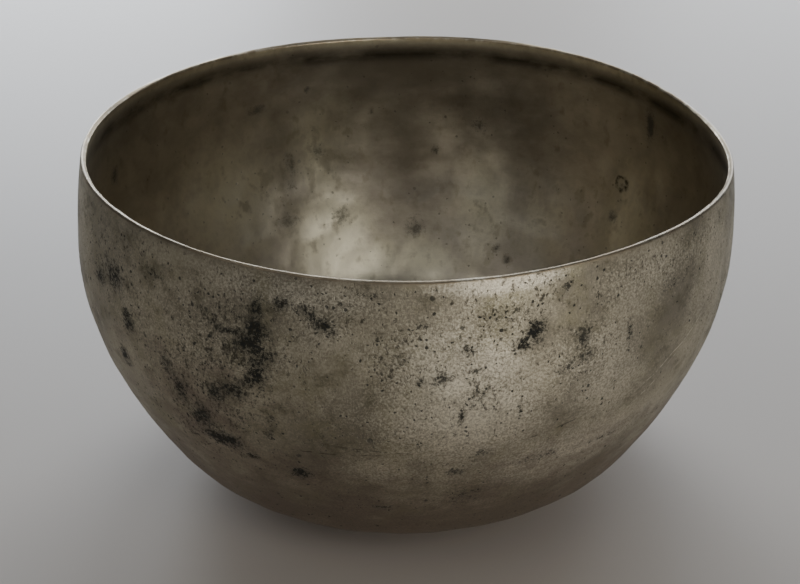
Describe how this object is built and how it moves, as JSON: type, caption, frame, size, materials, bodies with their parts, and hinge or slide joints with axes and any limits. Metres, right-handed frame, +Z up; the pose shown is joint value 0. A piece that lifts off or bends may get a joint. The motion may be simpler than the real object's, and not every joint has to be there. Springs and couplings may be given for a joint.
{
  "type": "singing bowl",
  "caption": "Deep hand-beaten bronze singing bowl: flat foot, rounded belly, thin wall and a slightly in-leaning, uneven lip, open at the top.",
  "frame": {"origin": "centre of the flat foot, on the surface the bowl stands on", "axes": "+Z up, out of the bowl's mouth; -Y towards the front, the more stained side; +X to the right of the front"},
  "size_m": [0.2006, 0.197, 0.1094],
  "materials": {
    "bronze": "aged hand-beaten bell bronze: satin grey-brown patina with dark stains, fine pits and a polished lip"
  },
  "bodies": {
    "root": {"bowl": "bronze"}
  },
  "joints": []
}
